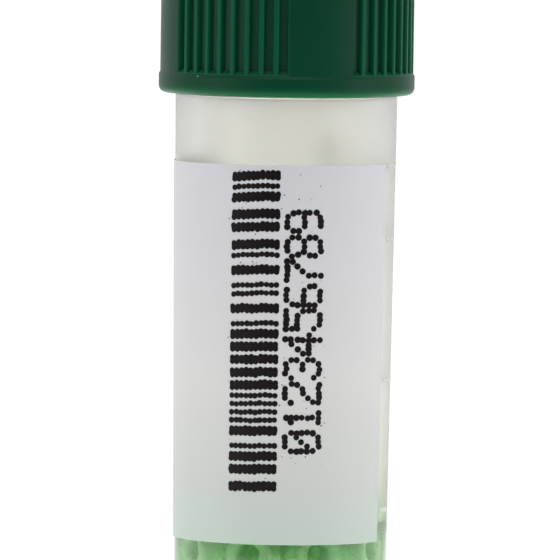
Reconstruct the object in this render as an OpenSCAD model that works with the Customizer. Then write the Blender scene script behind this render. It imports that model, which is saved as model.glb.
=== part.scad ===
// Screw-capped cryogenic storage vial with a seal washer, a printed writing panel
// and a charge of small ring-shaped storage beads. Millimetres, +Z up.
// The origin is the centre of the foot ring's standing face.

/* [Tube] */
// Height of the tube from its foot to its rim
tube_h = 46.4; // [40:0.1:56]
// Diameter of the body just under the cap
body_d = 12.5; // [11.5:0.1:15]
// Diameter of the bore at the mouth
bore_d = 9.3; // [7.5:0.1:10]
// Wall of the neck under its thread
neck_wall = 0.7; // [0.5:0.05:0.9]
// Height of the threaded neck from the shoulder to the rim
neck_h = 9.6; // [9:0.1:12]
// Thickness of the round bottom
floor_t = 1.4; // [0.8:0.1:1.7]
// Draft of the outside of the body, in degrees
body_draft = 0.6; // [0:0.1:0.8]
// Draft of the bore, in degrees
bore_draft = 0.3; // [0.1:0.1:0.5]
// Height of the plain lip round the rim
lip_h = 0.8; // [0.6:0.1:1]
// Break of the shoulder's edge
shoulder_break = 0.05; // [0.05:0.05:0.3]
// Break of the lip's edge
lip_break = 0.15; // [0.05:0.05:0.3]

/* [Foot] */
// Height of the straight band round the foot
foot_band_h = 5; // [3:0.1:7]
// Depth from the round bottom down to the standing face
foot_drop = 2.3; // [1.2:0.1:3]
// Wall of the foot ring
foot_wall = 1; // [0.7:0.1:1.3]
// Number of locking ribs inside the foot ring
foot_ribs = 8; // [4:1:12]
// Thickness of a locking rib
foot_rib_t = 0.7; // [0.5:0.1:1]
// Height of the locking ribs' lower edges above the standing face
foot_rib_lift = 0.8; // [0.4:0.1:1.2]
// Radius that the locking ribs leave open round the centre
foot_rib_open_r = 2.6; // [2:0.1:3.2]
// Chamfer round the foot
foot_chamfer = 0.4; // [0.2:0.1:0.6]

/* [Thread] */
// Rise of the thread in one turn
thread_lead = 3; // [2.4:0.1:3.2]
// Depth of the thread
thread_depth = 0.5; // [0.4:0.05:0.6]
// Width of a thread ridge at its root
thread_root_w = 1.1; // [0.9:0.05:1.3]
// Width of a thread ridge at its crest
thread_crest_w = 0.5; // [0.4:0.05:0.6]
// Turns of thread on the neck
neck_turns = 1.6; // [1.2:0.1:2]
// Turns of thread in the cap
cap_turns = 1.35; // [1.1:0.05:1.8]
// Radial clearance between the threads
thread_gap = 0.15; // [0.1:0.01:0.2]
// Clearance between the thread flanks that pull the cap down
flank_gap = 0.12; // [0.08:0.01:0.2]
// Distance from the rim to the middle of the neck thread's upper end
thread_drop = 1.6; // [1.4:0.1:2]

/* [Cap] */
// Wall of the cap between its bore and the floor of its grooves
cap_wall = 0.8; // [0.6:0.05:1]
// Thickness of the cap's top
cap_top_t = 1.3; // [1:0.1:1.6]
// Gap between the cap's lower edge and the tube's shoulder
cap_rim_gap = 0.05; // [0.05:0.05:0.4]
// Height of the plain band round the cap's lower edge
band_h = 1.2; // [0.8:0.1:2]
// How far the band stands proud of the grip
band_step = 0.08; // [0.02:0.01:0.15]
// Depth of the grip's grooves
groove_d = 0.33; // [0.25:0.01:0.4]
// Width of the crest of a grip rib
rib_w = 0.3; // [0.24:0.01:0.4]
// Width of a groove at its floor
groove_w = 0.38; // [0.3:0.01:0.42]
// Height of the ramp in which a groove runs out to the band
groove_run_out = 0.25; // [0.1:0.05:0.4]
// Grooves in each bank of the grip
bank_grooves = 9; // [5:1:9]
// Banks of grooves, each followed by a smooth pad
banks = 4; // [3:1:6]
// Angle that a smooth pad covers
pad_angle = 28.4; // [14:0.2:36]
// Direction of the middle of the first pad, with the front of the vial at 0
pad_turn = 16; // [0:0.5:90]
// Radius of the cap's upper edge
cap_edge_r = 0.7; // [0.4:0.1:1]
// Radius of the cap's lower edge
cap_rim_r = 0.4; // [0.2:0.1:0.5]

/* [Seal] */
// Thickness of the seal washer
seal_t = 0.8; // [0.6:0.1:1.2]
// Width of the seal washer's ring
seal_w = 1.6; // [1.2:0.1:1.8]
// Clearance round the washer in the cap
seal_gap = 0.15; // [0.1:0.05:0.2]
// Height of the collar that centres the washer, beyond the washer
collar_dip = 0.6; // [0.3:0.1:1]
// Wall of the collar
collar_wall = 0.8; // [0.6:0.1:1]

/* [Beads] */
// Number of beads in the pile
bead_count = 25; // [8:1:30]
// Outer diameter of a bead
bead_d = 2.5; // [2:0.1:3]
// Diameter of the hole through a bead
bead_hole_d = 1.1; // [0.8:0.1:1.3]
// Length of a bead along its hole
bead_l = 1.75; // [1.5:0.05:2.1]
// Room left round a bead so that it can lean
bead_gap = 0.12; // [0.1:0.01:0.2]
// Direction of the first bead of the uppermost ring, with the front of the vial at 0
pile_turn = -49; // [-180:0.5:180]

/* [Writing panel] */
// Distance from the shoulder to the panel's upper edge
panel_drop = 3.75; // [2:0.05:6]
// Height of the panel
panel_h = 21.25; // [15:0.25:25]
// Angle that the panel covers
panel_angle = 180; // [120:1:240]
// Direction of the panel's right edge, with the front of the vial at 0
panel_right = 63.5; // [40:0.5:120]
// Thickness of the ink
ink_t = 0.08; // [0.05:0.01:0.12]

/* [Hidden] */
$fn = 96;

// Heights
shoulder_z = tube_h - neck_h;
seal_z = tube_h;
ceiling_z = seal_z + seal_t;
cap_top_z = ceiling_z + cap_top_t;
cap_z = shoulder_z + cap_rim_gap;

// Tube radii. Both drafts narrow the tube towards its foot.
mouth_r = bore_d / 2;
neck_r = mouth_r + neck_wall;
function body_r(z) = body_d / 2 - tan(body_draft) * (shoulder_z - max(z, foot_band_h));
function bore_r(z) = mouth_r - tan(bore_draft) * (tube_h - z);
foot_r = body_r(0);

// The bore ends in a ball that meets its wall at the ball's own equator.
ball_r = bore_r(foot_drop + floor_t + mouth_r);
ball_z = foot_drop + floor_t + ball_r;

// Thread and cap radii
neck_crest_r = neck_r + thread_depth;
cap_bore_r = neck_crest_r + thread_gap;
cap_crest_r = neck_r + thread_gap;
groove_floor_r = cap_bore_r + cap_wall;
cap_r = groove_floor_r + groove_d;
band_r = cap_r + band_step;
band_z = cap_z + band_h;  // the band's upper edge
lip_step = 0.08;  // how far the lip stands proud of the neck
lip_r = neck_r + lip_step;
seat_step = 0.1;  // how much wider the washer's seat is than the cap's bore
seat_r = cap_bore_r + seat_step;
seal_r = seat_r - seal_gap;
seal_hole_r = seal_r - seal_w;
collar_r = seal_hole_r - seal_gap;
groove_pitch = (360 / banks - pad_angle) / bank_grooves;

// Threads: the neck's ends at its top, and the cap's lies right under it, so that turning
// the cap down pulls it down. Both are laid out over whole turns.
neck_rounds = ceil(neck_turns);
cap_rounds = ceil(cap_turns);
neck_start = tube_h - thread_drop - neck_rounds * thread_lead;
flank_slope = (thread_root_w - thread_crest_w) / 2 / thread_depth;
flank_reach = (thread_root_w + thread_crest_w) / 2 - flank_slope * thread_gap;
lead_in_h = 0.5;
cap_start = cap_z + lead_in_h + thread_root_w / 2;
cap_thread_turn = 360 * (cap_start - neck_start + flank_reach + flank_gap) / thread_lead;

front = -90;        // the direction of the vial's front, as an angle from +X
thread_steps = 60;  // steps of a thread in one turn
run_out = 30;       // angle over which a thread's end sinks into its wall
slip = 0.01;        // overshoot of a cut past the face it opens

// Beads. A bead is a disc with a round edge, and each lies with one face towards the wall.
bead_round = (bead_d - bead_hole_d) / 4;
disc_r = bead_d / 2 - bead_round;
disc_l = bead_l / 2 - bead_round;
bead_reach = norm([disc_r, disc_l]) + bead_round;
// Distance of a bead's middle from the axis, and from the middle of the ball in the round bottom
ring_r = sqrt((ball_r - bead_round - bead_gap) ^ 2 - disc_r ^ 2) - disc_l;
// Smallest angle between two neighbours in a ring, and in the ball
bead_angle = 2 * (atan2(disc_r, ring_r - disc_l)
    + asin((bead_round + bead_gap / 2) / norm([disc_r, ring_r - disc_l])));

// The lowest ring lies round the bead at the very bottom and looks down by the angle dip.
dip = 90 - bead_angle;
lowest_count = floor(360 / acos((cos(bead_angle) - sin(dip) ^ 2) / cos(dip) ^ 2));
lowest_z = ball_z - ring_r * sin(dip);

// The rings above it each stand in the gaps of the one below. Where there is room for one, each
// ring brings a bead in the middle.
ring_count = floor(360 / bead_angle);
ring_z = lowest_z + disc_r * cos(dip) + disc_l * sin(dip) + 2 * bead_round + bead_gap + disc_r;
ring_step = sqrt((bead_d + bead_gap) ^ 2 - (2 * (ring_r - bead_l / 2) * sin(90 / ring_count)) ^ 2);
middle_count = ring_r - bead_l / 2 > bead_reach + bead_gap ? 1 : 0;
middle_room = 0.5;  // height that the lowest middle bead keeps from the bead at the very bottom
middle_z = ball_z - ring_r + bead_l / 2 + middle_room + bead_gap + bead_reach;
middle_step = 2 * bead_reach + bead_gap;
middle_turn = 170;  // each middle bead is turned by this much from the one below it
middle_off = min(0.5, ring_r - bead_l / 2 - bead_reach - bead_gap);  // how far it lies off the axis
middle_tip = 60;    // and tumbled by twice this much
layer_count = ring_count + middle_count;
top_layer = floor((bead_count - 2 - lowest_count) / layer_count);

// The seat of bead i is [direction, distance from the axis, height, how far it looks down].
function upper_seat(layer, k) =
    k < middle_count
    ? [layer * middle_turn, -middle_off, middle_z + layer * middle_step, middle_tip * (1 + 2 * layer)]
    : [
        front + pile_turn + (k - middle_count) * 360 / ring_count + (top_layer - layer) * 180 / ring_count,
        ring_r, ring_z + layer * ring_step, 0
    ];
function bead_seat(i) =
    let (k = i - 2 - lowest_count)
    i == 1 ? [0, 0, ball_z - ring_r, 90]
    : k < 0 ? [(i - 2) * 360 / lowest_count, ring_r * cos(dip), lowest_z, dip]
    : upper_seat(floor(k / layer_count), k % layer_count);

function bead_name(i) = str("bead_", i < 10 ? "0" : "", i);

// A round bar from height low to height high whose surface carries a right-handed thread: a ridge
// if crest is more than root, and a groove if it is less. The ridge's middle is at height start at
// angle 0. It is laid out over a whole number of rounds and stands proud between the angles from and to.
module threaded_bar(root, crest, low, high, start, rounds, from, to) {
    sweep = 360 / thread_steps;
    span = rounds * thread_steps;
    top_round = span - thread_steps;
    function rise(t) = max(0, min(1, (t - from) / run_out, (to - t) / run_out));
    function on_bar(r, t, z) = [r * cos(t), r * sin(t), z];
    function section(t) =
        let (middle = start + thread_lead * t / 360, r = root + rise(t) * (crest - root))
        [
            on_bar(root, t, middle - thread_root_w / 2),
            on_bar(r, t, middle - thread_crest_w / 2),
            on_bar(r, t, middle + thread_crest_w / 2),
            on_bar(root, t, middle + thread_root_w / 2)
        ];
    points = concat(
        [for (i = [0:span]) each section(i * sweep)],
        [for (i = [0:thread_steps - 1]) on_bar(root, i * sweep, low)],
        [for (i = [0:thread_steps - 1]) on_bar(root, i * sweep, high)]
    );
    function s(i, k) = 4 * i + k;
    function lo(i) = 4 * (span + 1) + i % thread_steps;
    function hi(i) = lo(i) + thread_steps;
    // Two triangles from the corners of a patch: lower left, upper left, upper right, lower right
    function patch(ll, ul, ur, lr) = [[ll, ul, ur], [ll, ur, lr]];
    ridge = [
        for (i = [0:span - 1]) for (k = [0:2])
            each patch(s(i, k), s(i, k + 1), s(i + 1, k + 1), s(i + 1, k))
    ];
    lands = [
        for (i = [0:1:top_round - 1])
            each patch(s(i, 3), s(i + thread_steps, 0), s(i + thread_steps + 1, 0), s(i + 1, 3))
    ];
    below = [
        for (i = [0:thread_steps - 2])
            each patch(lo(i), s(i, 0), s(i + 1, 0), lo(i + 1))
    ];
    above = [
        for (i = [1:thread_steps - 1])
            each patch(s(top_round + i, 3), hi(i), hi(i + 1), s(top_round + i + 1, 3))
    ];
    // The two patches where the first round closes on itself, below and above
    seam_below = concat(
        [s(thread_steps - 1, 0), s(thread_steps, 0)],
        [for (k = [3:-1:0]) s(0, k)],
        [lo(0), lo(thread_steps - 1)]
    );
    seam_above = concat(
        [s(top_round + 1, 3), s(top_round, 3)],
        [for (k = [0:3]) s(span, k)],
        [hi(0), hi(1)]
    );
    end_below = [for (i = [0:thread_steps - 1]) lo(i)];
    end_above = [for (i = [thread_steps - 1:-1:0]) hi(i)];
    polyhedron(points, concat(ridge, lands, below, above, [seam_below, seam_above, end_below, end_above]));
}

// TUBE: one moulding, with the neck and its thread, the body, the round bottom and the foot ring.

module tube_outside() {
    rotate_extrude()
        polygon([
            [0, 0],
            [foot_r - foot_chamfer, 0],
            [foot_r, foot_chamfer],
            [foot_r, foot_band_h],
            [body_r(shoulder_z - shoulder_break), shoulder_z - shoulder_break],
            [body_r(shoulder_z) - shoulder_break, shoulder_z],
            [0, shoulder_z]
        ]);
    threaded_bar(
        neck_r, neck_crest_r, shoulder_z - lip_h / 2, tube_h - lip_h / 2,
        neck_start, neck_rounds, 360 * (neck_rounds - neck_turns), 360 * neck_rounds
    );
    translate([0, 0, tube_h - lip_h]) {
        cylinder(h = lip_h - lip_break, r = lip_r);
        translate([0, 0, lip_h - lip_break])
            cylinder(h = lip_break, r1 = lip_r, r2 = lip_r - lip_break);
    }
}

module tube_bore() {
    translate([0, 0, ball_z])
        cylinder(h = tube_h + slip - ball_z, r1 = bore_r(ball_z), r2 = bore_r(tube_h + slip));
    translate([0, 0, ball_z]) sphere(r = ball_r);
}

// The hollow inside the foot ring, with the round bottom left standing in it
module foot_hollow() {
    difference() {
        translate([0, 0, -slip]) cylinder(h = ball_z, r = foot_r - foot_wall);
        translate([0, 0, ball_z]) sphere(r = ball_r + floor_t);
    }
}

// Ribs that lock the foot on the star-shaped pegs of a rack
module foot_lock_ribs() {
    intersection() {
        for (k = [0:foot_ribs - 1])
            rotate([0, 0, (k + 0.5) * 360 / foot_ribs])
                translate([foot_rib_open_r, -foot_rib_t / 2, foot_rib_lift])
                    cube([foot_r - foot_wall / 2 - foot_rib_open_r, foot_rib_t, ball_z - foot_rib_lift]);
        difference() {
            cylinder(h = ball_z, r = foot_r - foot_wall / 2);
            translate([0, 0, ball_z]) sphere(r = ball_r + floor_t / 2);
        }
    }
}

module tube() {
    color([0.86, 0.87, 0.83, 0.6]) {
        difference() {
            tube_outside();
            tube_bore();
            foot_hollow();
        }
        foot_lock_ribs();
    }
}

// CAP: one moulding, with banks of grooves between smooth pads and a plain band below them.

module cap_outside() {
    rotate_extrude() {
        polygon([
            [0, cap_z],
            [band_r - cap_rim_r, cap_z],
            [band_r, cap_z + cap_rim_r],
            [band_r, band_z - 2 * band_step],
            [cap_r, band_z],
            [cap_r, cap_top_z - cap_edge_r],
            [cap_r - cap_edge_r, cap_top_z],
            [0, cap_top_z]
        ]);
        translate([band_r - cap_rim_r, cap_z + cap_rim_r]) circle(r = cap_rim_r);
        translate([cap_r - cap_edge_r, cap_top_z - cap_edge_r]) circle(r = cap_edge_r);
    }
}

// One groove of the grip, which flares where it meets the crests of its ribs
module grip_groove() {
    flare = groove_d / 5;
    mouth_w = 2 * cap_r * sin(groove_pitch / 2) - rib_w;
    outside = 1;
    translate([0, 0, band_z])
        linear_extrude(height = cap_top_z - cap_z)
            polygon([
                [groove_floor_r, -groove_w / 2],
                [cap_r - flare, -mouth_w / 2],
                [cap_r + outside, -mouth_w / 2 - flare - outside],
                [cap_r + outside, mouth_w / 2 + flare + outside],
                [cap_r - flare, mouth_w / 2],
                [groove_floor_r, groove_w / 2]
            ]);
}

module grip_bank() {
    for (k = [0:bank_grooves - 1])
        rotate([0, 0, pad_angle / 2 + (k + 0.5) * groove_pitch]) grip_groove();
}

// All banks of grooves, less the cone of the ramps in which their lower ends run out to the band
module grip() {
    slope = groove_run_out / groove_d;
    overlap = 0.1;  // how far the cone passes the grooves' mouths and floors
    difference() {
        for (bank = [0:banks - 1])
            rotate([0, 0, front + pad_turn + bank * 360 / banks]) grip_bank();
        translate([0, 0, band_z - slope * overlap / 2])
            cylinder(
                h = slope * (groove_d + 2 * overlap),
                r1 = cap_r + overlap, r2 = groove_floor_r - overlap
            );
    }
}

module cap_hollow() {
    translate([0, 0, cap_z - slip]) cylinder(h = lead_in_h + slip, r = cap_bore_r + thread_gap);
    rotate([0, 0, cap_thread_turn])
        threaded_bar(
            cap_bore_r, cap_crest_r, cap_z + lead_in_h / 2, seal_z - seal_t / 2,
            cap_start, cap_rounds, 0, 360 * cap_turns
        );
    translate([0, 0, seal_z - seal_t]) cylinder(h = 2 * seal_t, r = seat_r);
}

// Collar under the cap's top that keeps the washer centred and dips into the mouth
module cap_collar() {
    translate([0, 0, seal_z - collar_dip])
        difference() {
            cylinder(h = collar_dip + seal_t + cap_top_t / 2, r = collar_r);
            translate([0, 0, -slip]) cylinder(h = collar_dip + seal_t + slip, r = collar_r - collar_wall);
        }
}

module cap() {
    color([0.07, 0.25, 0.17]) {
        difference() {
            cap_outside();
            cap_hollow();
            grip();
        }
        cap_collar();
    }
}

// SEAL: a flat ring of silicone between the tube's rim and the cap's top.

module seal_washer() {
    color([0.9, 0.88, 0.84])
        translate([0, 0, seal_z])
            difference() {
                cylinder(h = seal_t, r = seal_r);
                translate([0, 0, -slip]) cylinder(h = seal_t + 2 * slip, r = seal_hole_r);
            }
}

// WRITING PANEL: a skin of white ink that follows the drafted wall of the body.

module writing_panel() {
    top_z = shoulder_z - panel_drop;
    low_z = top_z - panel_h;
    color([0.9, 0.91, 0.92])
        rotate([0, 0, front + panel_right - panel_angle])
            rotate_extrude(angle = panel_angle)
                polygon([
                    [body_r(low_z), low_z],
                    [body_r(low_z) + ink_t, low_z],
                    [body_r(top_z) + ink_t, top_z],
                    [body_r(top_z), top_z]
                ]);
}

// BEADS: short rings with rounded edges, piled from the round bottom up.

// One bead about the origin, with its hole along Z
module bead_form() {
    rotate_extrude()
        translate([bead_hole_d / 2 + bead_round, 0]) {
            square([2 * bead_round, 2 * disc_l], center = true);
            for (end = [-1, 1]) translate([0, end * disc_l]) circle(r = bead_round);
        }
}

module bead(i) {
    seat = bead_seat(i);
    golden = 137.5;
    lean_share = 0.9;  // how much of the room round a bead its lean takes up
    lean = lean_share * atan2(bead_gap, norm([disc_r, disc_l]));
    color([0.3, 0.62, 0.3])
        rotate([0, 0, seat[0]])
            translate([seat[1], 0, seat[2]])
                rotate([0, lean * sin(golden * i), lean * cos(golden * i) / 2])
                    rotate([0, 90 + seat[3], 0])
                        bead_form();
}

tube();
cap();
seal_washer();
writing_panel();
for (i = [1:bead_count]) bead(i);
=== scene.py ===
# %% [markdown]
# # A screw-capped cryogenic vial
# This lesson dresses a small storage vial for frozen cultures. The shapes that carry, screw and seal
# are already there: a CAD model gives the tube, its cap, a seal washer, a white writing panel and a
# pile of ring-shaped beads. What Blender adds is everything the eye reads as material: milky
# polypropylene, satin green moulding, a screen-printed panel and the dots of an ink-jet code on it.
#
# The first cell loads the CAD model as a fixed frame. Nothing in it is moved or reshaped, so every new
# piece takes its place from the frame's own sizes.

# %% Load the frame
import math
import random

import bpy
from mathutils import Matrix, Quaternion, Vector


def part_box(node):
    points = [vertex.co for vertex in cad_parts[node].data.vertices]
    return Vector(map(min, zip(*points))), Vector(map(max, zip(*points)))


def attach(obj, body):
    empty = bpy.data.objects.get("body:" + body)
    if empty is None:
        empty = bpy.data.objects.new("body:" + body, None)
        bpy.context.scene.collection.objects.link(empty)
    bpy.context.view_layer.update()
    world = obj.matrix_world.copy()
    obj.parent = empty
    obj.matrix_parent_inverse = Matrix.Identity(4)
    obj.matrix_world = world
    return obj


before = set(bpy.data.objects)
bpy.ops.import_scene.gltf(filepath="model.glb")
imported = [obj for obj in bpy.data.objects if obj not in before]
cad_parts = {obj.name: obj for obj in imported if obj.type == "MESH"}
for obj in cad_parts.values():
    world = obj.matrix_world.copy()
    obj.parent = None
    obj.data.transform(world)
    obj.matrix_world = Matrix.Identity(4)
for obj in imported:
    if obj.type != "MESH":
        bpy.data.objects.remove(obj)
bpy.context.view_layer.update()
MM = 0.001

# %% [markdown]
# The tube's wall leans inwards by about half a degree towards the foot, so that it leaves its mould.
# Everything printed on the tube has to follow that wall. A straight line between the radius at the
# panel's lower edge and the radius at its upper edge describes it, and both are read off the panel.
# Directions round the vial are counted in degrees from its front, with the right-hand side positive.

# %% Read the wall's size and lean
panel_low, panel_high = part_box("writing_panel")
cap_low, cap_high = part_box("cap")
tube_low, tube_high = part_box("tube")
PANEL_TOP = panel_high.z
PANEL_FOOT = panel_low.z
LEVEL_REACH = 0.05 * MM


def panel_radii(height):
    """The radii of the panel's corners that lie close to a height, from smallest to largest."""
    corners = (v.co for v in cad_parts["writing_panel"].data.vertices)
    return sorted(math.hypot(c.x, c.y) for c in corners if abs(c.z - height) < LEVEL_REACH)


ink_r_low = panel_radii(PANEL_FOOT)[-1]
ink_r_top = panel_radii(PANEL_TOP)[-1]
ink_skin = ink_r_top - panel_radii(PANEL_TOP)[0]
wall_lean = (ink_r_top - ink_r_low) / (PANEL_TOP - PANEL_FOOT)
print("panel radius in mm:", round(ink_r_low / MM, 3), "to", round(ink_r_top / MM, 3))
print("ink thickness in mm:", round(ink_skin / MM, 3))


def panel_r(height):
    """Radius of the panel's printed face at a height."""
    return ink_r_low + wall_lean * (height - PANEL_FOOT)


def wall_r(height):
    """Radius of the tube's bare wall at a height."""
    return panel_r(height) - ink_skin


def on_wall(across, height, radius):
    """The place of a printed mark: across is measured along the wall from the front."""
    angle = across / radius
    return Vector((radius * math.sin(angle), -radius * math.cos(angle), height))


# %% [markdown]
# Operators act on whatever is selected, so each modelling step begins with an empty selection. A piece
# that is finished also needs its place in its mesh and its object at the origin: then a pattern on
# Object coordinates runs on from piece to piece at the same scale.

# %% Small helpers for modelling
def clear_selection():
    """Leaves nothing selected, in object mode."""
    if bpy.context.object and bpy.context.object.mode != "OBJECT":
        bpy.ops.object.mode_set(mode="OBJECT")
    bpy.ops.object.select_all(action="DESELECT")


def join(copies, name):
    """Joins loose copies into one piece and names it."""
    clear_selection()
    for one in copies:
        one.select_set(True)
    bpy.context.view_layer.objects.active = copies[0]
    bpy.ops.object.join()
    piece = bpy.context.object
    piece.name = name
    piece.data.name = name
    return piece


# %% [markdown]
# ## Surfaces
# Moulded plastic is never perfectly even. Its gloss drifts over a few millimetres, a faint grain from
# the mould breaks the reflections, and the colour clouds slightly where the melt met itself. The same
# three effects appear in almost every material here, so each is a node group that is built once and
# given its own values wherever it is used. A short helper makes a group with named inputs and outputs.

# %% A helper that starts a node group
def new_group(name, inputs, outputs):
    """A shader node group. inputs: (name, kind, start value); outputs: (name, kind)."""
    tree = bpy.data.node_groups.new(name, "ShaderNodeTree")
    for label, kind, start in inputs:
        socket = tree.interface.new_socket(label, in_out="INPUT", socket_type="NodeSocket" + kind)
        if start is not None:
            socket.default_value = start
    for label, kind in outputs:
        tree.interface.new_socket(label, in_out="OUTPUT", socket_type="NodeSocket" + kind)
    return tree, tree.nodes.new("NodeGroupInput").outputs, tree.nodes.new("NodeGroupOutput").inputs


def math_node(tree, operation, first, second):
    """A Math node: first and second are sockets or plain numbers."""
    node = tree.nodes.new("ShaderNodeMath")
    node.operation = operation
    for socket, value in zip(node.inputs, (first, second)):
        if isinstance(value, (int, float)):
            socket.default_value = value
        else:
            tree.links.new(value, socket)
    return node.outputs[0]


def noise_node(tree, place, size, detail=2.0, roughness=0.5):
    """Noise whose blotches are about `size` metres across; size is a socket or a number."""
    node = tree.nodes.new("ShaderNodeTexNoise")
    node.inputs["Detail"].default_value = detail
    node.inputs["Roughness"].default_value = roughness
    tree.links.new(place, node.inputs["Vector"])
    tree.links.new(math_node(tree, "DIVIDE", 1.0, size), node.inputs["Scale"])
    return node.outputs["Fac"]


# %% [markdown]
# **Moulded skin** gives a relief for a Bump node and a roughness. The relief is fine noise, at the
# scale of the mould's polish; the roughness wanders slowly between a shinier and a duller value.

# %% Group: moulded skin
def build_moulded_skin():
    tree, given, result = new_group(
        "moulded_skin",
        [("Place", "Vector", None), ("Grain Size", "Float", 0.0001), ("Cloud Size", "Float", 0.004),
         ("Roughness", "Float", 0.4), ("Spread", "Float", 0.1)],
        [("Relief", "Float"), ("Roughness", "Float")],
    )
    grain = noise_node(tree, given["Place"], given["Grain Size"], detail=3.0, roughness=0.6)
    cloud = noise_node(tree, given["Place"], given["Cloud Size"])
    tree.links.new(grain, result["Relief"])
    swing = math_node(tree, "MULTIPLY", math_node(tree, "SUBTRACT", cloud, 0.5), given["Spread"])
    tree.links.new(math_node(tree, "ADD", given["Roughness"], swing), result["Roughness"])
    return tree


moulded_skin = build_moulded_skin()
print("group:", moulded_skin.name)

# %% [markdown]
# **Tone drift** lightens and darkens a colour in soft patches, as pigment and wall thickness do.

# %% Group: tone drift
def build_tone_drift():
    tree, given, result = new_group(
        "tone_drift",
        [("Place", "Vector", None), ("Color", "Color", (1, 1, 1, 1)),
         ("Patch Size", "Float", 0.005), ("Drift", "Float", 0.1)],
        [("Color", "Color")],
    )
    patch = noise_node(tree, given["Place"], given["Patch Size"], detail=3.0)
    swing = math_node(tree, "MULTIPLY", math_node(tree, "SUBTRACT", patch, 0.5), given["Drift"])
    tone = tree.nodes.new("ShaderNodeHueSaturation")
    tree.links.new(math_node(tree, "ADD", swing, 1.0), tone.inputs["Value"])
    tree.links.new(given["Color"], tone.inputs["Color"])
    tree.links.new(tone.outputs["Color"], result["Color"])
    return tree


tone_drift = build_tone_drift()
print("group:", tone_drift.name)

# %% [markdown]
# **Flecks** scatters small round spots: dust on the cap, inclusions in the plastic, pores in a bead. A
# Voronoi texture has one point in each cell; the spot is what lies near the point, and a second look
# at the cell's own random colour keeps only some of the cells.

# %% Group: flecks
def build_flecks():
    tree, given, result = new_group(
        "flecks",
        [("Place", "Vector", None), ("Spacing", "Float", 0.002), ("Spot Size", "Float", 0.05),
         ("Kept", "Float", 0.2)],
        [("Mask", "Float")],
    )
    cells = tree.nodes.new("ShaderNodeTexVoronoi")
    tree.links.new(given["Place"], cells.inputs["Vector"])
    tree.links.new(math_node(tree, "DIVIDE", 1.0, given["Spacing"]), cells.inputs["Scale"])
    near = math_node(tree, "LESS_THAN", cells.outputs["Distance"], given["Spot Size"])
    chance = tree.nodes.new("ShaderNodeSeparateColor")
    tree.links.new(cells.outputs["Color"], chance.inputs["Color"])
    kept = math_node(tree, "LESS_THAN", chance.outputs["Red"], given["Kept"])
    tree.links.new(math_node(tree, "MULTIPLY", near, kept), result["Mask"])
    return tree


flecks = build_flecks()
print("group:", flecks.name)

# %% [markdown]
# ** Height rise** goes from 0 at one height to 1 at another. The tube is clearer where it is wet inside,
# and the panel gets a painted tint for the light from what stands behind it, so both need to know how
# high they are.

# %% Group: height rise
def build_height_rise():
    tree, given, result = new_group(
        "height_rise",
        [("Place", "Vector", None), ("Low", "Float", 0.0), ("High", "Float", 1.0)],
        [("Mask", "Float")],
    )
    split = tree.nodes.new("ShaderNodeSeparateXYZ")
    tree.links.new(given["Place"], split.inputs["Vector"])
    rise = tree.nodes.new("ShaderNodeMapRange")
    tree.links.new(split.outputs["Z"], rise.inputs["Value"])
    tree.links.new(given["Low"], rise.inputs["From Min"])
    tree.links.new(given["High"], rise.inputs["From Max"])
    tree.links.new(rise.outputs["Result"], result["Mask"])
    return tree


height_rise = build_height_rise()
print("group:", height_rise.name)

# %% [markdown]
# Each material then starts the same way: a Principled BSDF, Object coordinates, and a helper that puts
# a group in and sets its inputs. The shader itself stays in the material, and any value that is the
# same all over the surface is typed straight into its socket.

# %% Helpers for materials
def srgb(red, green, blue):
    """A colour given as 0 to 255 on screen, as the linear colour that shaders use."""
    def linear(c):
        c = c / 255
        return c / 12.92 if c <= 0.04045 else ((c + 0.055) / 1.055) ** 2.4
    return (linear(red), linear(green), linear(blue), 1.0)


def start_material(name, **values):
    """A material with a Principled BSDF whose sockets take the given values."""
    material = bpy.data.materials.new(name)
    material.use_nodes = True
    tree = material.node_tree
    shader = tree.nodes["Principled BSDF"]
    for label, value in values.items():
        shader.inputs[label.replace("_", " ")].default_value = value
    place = tree.nodes.new("ShaderNodeTexCoord").outputs["Object"]
    return material, tree, shader, place


def use_group(tree, group, place, **values):
    """Puts a group into a material and sets or links its inputs."""
    node = tree.nodes.new("ShaderNodeGroup")
    node.node_tree = group
    tree.links.new(place, node.inputs["Place"])
    for label, value in values.items():
        socket = node.inputs[label.replace("_", " ")]
        if isinstance(value, bpy.types.NodeSocket):
            tree.links.new(value, socket)
        else:
            socket.default_value = value
    return node.outputs


def mix_colour(tree, mask, first, second):
    """first where the mask is 0, second where it is 1. Colours are sockets or plain values."""
    node = tree.nodes.new("ShaderNodeMix")
    node.data_type = "RGBA"
    colours = [s for s in node.inputs if s.type == "RGBA"]
    tree.links.new(mask, node.inputs["Factor"])
    for socket, value in zip(colours, (first, second)):
        if isinstance(value, bpy.types.NodeSocket):
            tree.links.new(value, socket)
        else:
            socket.default_value = value
    return next(s for s in node.outputs if s.type == "RGBA")


def add_bump(tree, shader, height, depth):
    """Turns a height into a normal. depth is in metres."""
    bump = tree.nodes.new("ShaderNodeBump")
    bump.inputs["Distance"].default_value = depth
    tree.links.new(height, bump.inputs["Height"])
    tree.links.new(bump.outputs["Normal"], shader.inputs["Normal"])


def give_skin(tree, shader, place, depth, **values):
    """A moulded skin all over: its roughness, and its relief as a bump."""
    skin = use_group(tree, moulded_skin, place, **values)
    tree.links.new(skin["Roughness"], shader.inputs["Roughness"])
    add_bump(tree, shader, skin["Relief"], depth)


def stretched(tree, place, factors):
    """The same place, scaled along each axis, which draws a pattern out."""
    node = tree.nodes.new("ShaderNodeMapping")
    node.inputs["Scale"].default_value = factors
    tree.links.new(place, node.inputs["Vector"])
    return node.outputs["Vector"]
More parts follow.
